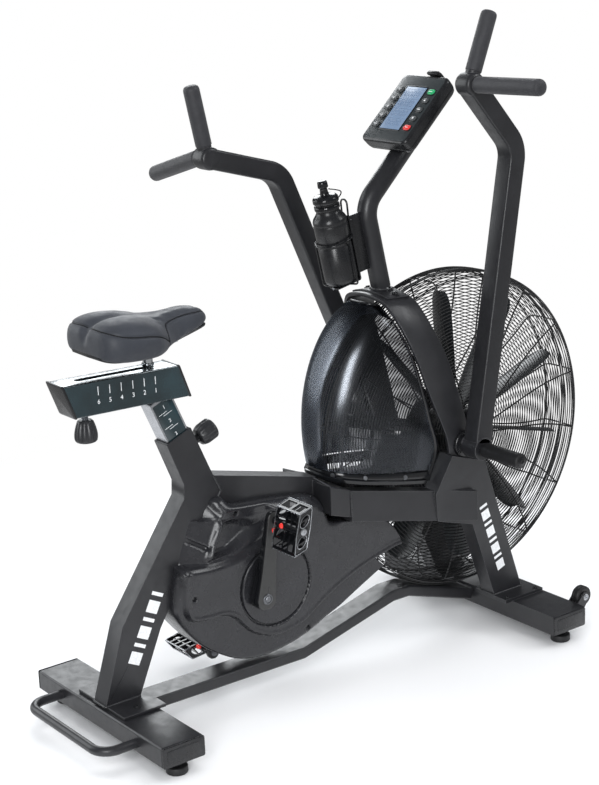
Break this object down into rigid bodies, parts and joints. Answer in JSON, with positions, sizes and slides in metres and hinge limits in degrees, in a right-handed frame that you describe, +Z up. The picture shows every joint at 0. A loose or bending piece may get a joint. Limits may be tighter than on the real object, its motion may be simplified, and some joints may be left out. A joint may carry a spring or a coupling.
{
  "type": "air bike",
  "caption": "Upright air bike with a caged fan driven by the pedals, two push-pull handlebar arms, adjustable saddle, bottle cage and console on a two-stabiliser steel frame.",
  "frame": {"origin": "centre of the footprint on the floor: middle of the overall box in X and Y, Z = 0 under the levelling feet", "axes": "+Y forward from saddle to fan, +X to the rider's right (crank and fan axes), +Z up"},
  "size_m": [0.7075, 1.3121, 1.3009],
  "materials": {
    "frame_black": "satin charcoal powder coat",
    "plastic_black": "satin moulded black",
    "smoked_clear": "smoked transparent, glossy",
    "wire_black": "black coated wire",
    "chrome": "polished",
    "steel": "brushed",
    "vinyl": "soft charcoal vinyl",
    "foam": "soft matt foam",
    "rubber": "matt",
    "screen": "blue-grey display",
    "key_grey": "dark grey key",
    "key_green": "green key",
    "key_red": "red key",
    "cast_grey": "grey painted casting"
  },
  "bodies": {
    "frame": {"arch": "frame_black", "axle_plate_left": "frame_black", "axle_plate_right": "frame_black", "bottle_cage": "wire_black", "centre_beam": "frame_black", "chain_case_left": "plastic_black", "chain_case_right": "plastic_black", "console": "plastic_black", "console_mast": "frame_black", "fan_axle": "steel", "fan_guard_left": "wire_black", "fan_guard_right": "wire_black", "fork_left": "frame_black", "fork_right": "frame_black", "front_stabiliser": "frame_black", "pivot_left": "frame_black", "pivot_right": "frame_black", "rear_handle": "frame_black", "rear_stabiliser": "frame_black", "screen_lens": "screen", "seat_upright": "frame_black", "shield": "smoked_clear", "shield_trim": "plastic_black", "top_tube": "frame_black"},
    "fan": {"fan_wheel": "plastic_black"},
    "crank": {"crank_axle": "steel", "crank_right": "cast_grey", "crank_left": "cast_grey"},
    "pedal_right": {"pedal_right": "plastic_black"},
    "pedal_left": {"pedal_left": "plastic_black"},
    "arm_right": {"arm_right": "frame_black", "upper_grip_right": "foam", "side_grip_right": "foam"},
    "arm_left": {"arm_left": "frame_black", "upper_grip_left": "foam", "side_grip_left": "foam"},
    "seat_frame": {"seat_post": "chrome", "seat_rail": "chrome"},
    "saddle": {"saddle_carriage": "plastic_black", "saddle": "vinyl"},
    "height_knob": {"seat_height_knob": "plastic_black"},
    "slide_knob": {"seat_slide_knob": "plastic_black"},
    "bottle": {"bottle": "plastic_black"},
    "key_l1": {"key_l1": "key_grey"},
    "key_l2": {"key_l2": "key_grey"},
    "key_l3": {"key_l3": "key_grey"},
    "key_l4": {"key_l4": "key_grey"},
    "key_l5": {"key_l5": "key_grey"},
    "key_stop": {"key_stop": "key_red"},
    "key_r2": {"key_r2": "key_grey"},
    "key_r3": {"key_r3": "key_grey"},
    "key_r4": {"key_r4": "key_grey"},
    "key_start": {"key_start": "key_green"},
    "wheel_right": {"transport_wheel_right": "rubber"},
    "foot_front_right": {"foot_front_right": "rubber"},
    "foot_rear_right": {"foot_rear_right": "rubber"},
    "wheel_left": {"transport_wheel_left": "rubber"},
    "foot_front_left": {"foot_front_left": "rubber"},
    "foot_rear_left": {"foot_rear_left": "rubber"}
  },
  "joints": [
    {"name": "crank_spin", "type": "hinge", "parent": "frame", "child": "crank", "pos_m": [0, -0.227, 0.22], "axis": [1, 0, 0], "continuous": true},
    {"name": "fan_spin", "type": "hinge", "parent": "frame", "child": "fan", "pos_m": [0, 0.326, 0.431], "axis": [1, 0, 0], "continuous": true},
    {"name": "pedal_right_spin", "type": "hinge", "parent": "crank", "child": "pedal_right", "pos_m": [0, -0.20612, 0.37863], "axis": [1, 0, 0], "continuous": true},
    {"name": "pedal_left_spin", "type": "hinge", "parent": "crank", "child": "pedal_left", "pos_m": [0, -0.24788, 0.06137], "axis": [1, 0, 0], "continuous": true},
    {"name": "arm_right_swing", "type": "hinge", "parent": "frame", "child": "arm_right", "pos_m": [0, 0.256, 0.4365], "axis": [1, 0, 0], "range_deg": [0, 33.4]},
    {"name": "arm_left_swing", "type": "hinge", "parent": "frame", "child": "arm_left", "pos_m": [0, 0.256, 0.4365], "axis": [1, 0, 0], "range_deg": [-33.4, 0]},
    {"name": "seat_height", "type": "slide", "parent": "frame", "child": "seat_frame", "axis": [0, -0.393, 0.9195], "range_m": [-0.05, 0.04]},
    {"name": "saddle_fore_aft", "type": "slide", "parent": "seat_frame", "child": "saddle", "axis": [0, 0.9997, -0.025], "range_m": [-0.05, 0.02]},
    {"name": "height_knob_pull", "type": "slide", "parent": "frame", "child": "height_knob", "axis": [0, 0.9195, 0.393], "range_m": [0, 0.008]},
    {"name": "slide_knob_turn", "type": "hinge", "parent": "seat_frame", "child": "slide_knob", "pos_m": [0, -0.548, 0.6425], "axis": [0, 0, -1], "range_deg": [-180, 180]},
    {"name": "bottle_lift", "type": "slide", "parent": "frame", "child": "bottle", "axis": [0, -0.1994, 0.9799], "range_m": [0, 0.09]},
    {"name": "key_l1_press", "type": "slide", "parent": "frame", "child": "key_l1", "axis": [0, 0.6929, -0.721], "range_m": [0, 0.001], "stiffness_N_per_m": 200},
    {"name": "key_l2_press", "type": "slide", "parent": "frame", "child": "key_l2", "axis": [0, 0.6929, -0.721], "range_m": [0, 0.001], "stiffness_N_per_m": 200},
    {"name": "key_l3_press", "type": "slide", "parent": "frame", "child": "key_l3", "axis": [0, 0.6929, -0.721], "range_m": [0, 0.001], "stiffness_N_per_m": 200},
    {"name": "key_l4_press", "type": "slide", "parent": "frame", "child": "key_l4", "axis": [0, 0.6929, -0.721], "range_m": [0, 0.001], "stiffness_N_per_m": 200},
    {"name": "key_l5_press", "type": "slide", "parent": "frame", "child": "key_l5", "axis": [0, 0.6929, -0.721], "range_m": [0, 0.001], "stiffness_N_per_m": 200},
    {"name": "key_stop_press", "type": "slide", "parent": "frame", "child": "key_stop", "axis": [0, 0.6929, -0.721], "range_m": [0, 0.001], "stiffness_N_per_m": 200},
    {"name": "key_r2_press", "type": "slide", "parent": "frame", "child": "key_r2", "axis": [0, 0.6929, -0.721], "range_m": [0, 0.001], "stiffness_N_per_m": 200},
    {"name": "key_r3_press", "type": "slide", "parent": "frame", "child": "key_r3", "axis": [0, 0.6929, -0.721], "range_m": [0, 0.001], "stiffness_N_per_m": 200},
    {"name": "key_r4_press", "type": "slide", "parent": "frame", "child": "key_r4", "axis": [0, 0.6929, -0.721], "range_m": [0, 0.001], "stiffness_N_per_m": 200},
    {"name": "key_start_press", "type": "slide", "parent": "frame", "child": "key_start", "axis": [0, 0.6929, -0.721], "range_m": [0, 0.001], "stiffness_N_per_m": 200},
    {"name": "wheel_right_spin", "type": "hinge", "parent": "frame", "child": "wheel_right", "pos_m": [0.24, 0.474, 0.079], "axis": [1, 0, 0], "continuous": true},
    {"name": "foot_front_right_turn", "type": "hinge", "parent": "frame", "child": "foot_front_right", "pos_m": [0.246, 0.4065, 0.014], "axis": [0, 0, 1], "range_deg": [-180, 180]},
    {"name": "foot_rear_right_turn", "type": "hinge", "parent": "frame", "child": "foot_rear_right", "pos_m": [0.198, -0.5235, 0.014], "axis": [0, 0, 1], "range_deg": [-180, 180]},
    {"name": "wheel_left_spin", "type": "hinge", "parent": "frame", "child": "wheel_left", "pos_m": [-0.24, 0.474, 0.079], "axis": [1, 0, 0], "continuous": true},
    {"name": "foot_front_left_turn", "type": "hinge", "parent": "frame", "child": "foot_front_left", "pos_m": [-0.246, 0.4065, 0.014], "axis": [0, 0, 1], "range_deg": [-180, 180]},
    {"name": "foot_rear_left_turn", "type": "hinge", "parent": "frame", "child": "foot_rear_left", "pos_m": [-0.198, -0.5235, 0.014], "axis": [0, 0, 1], "range_deg": [-180, 180]}
  ],
  "couplings": [
    {"joint": "fan_spin", "follows": "crank_spin", "ratio": 5},
    {"joint": "arm_left_swing", "follows": "arm_right_swing", "ratio": -1}
  ]
}
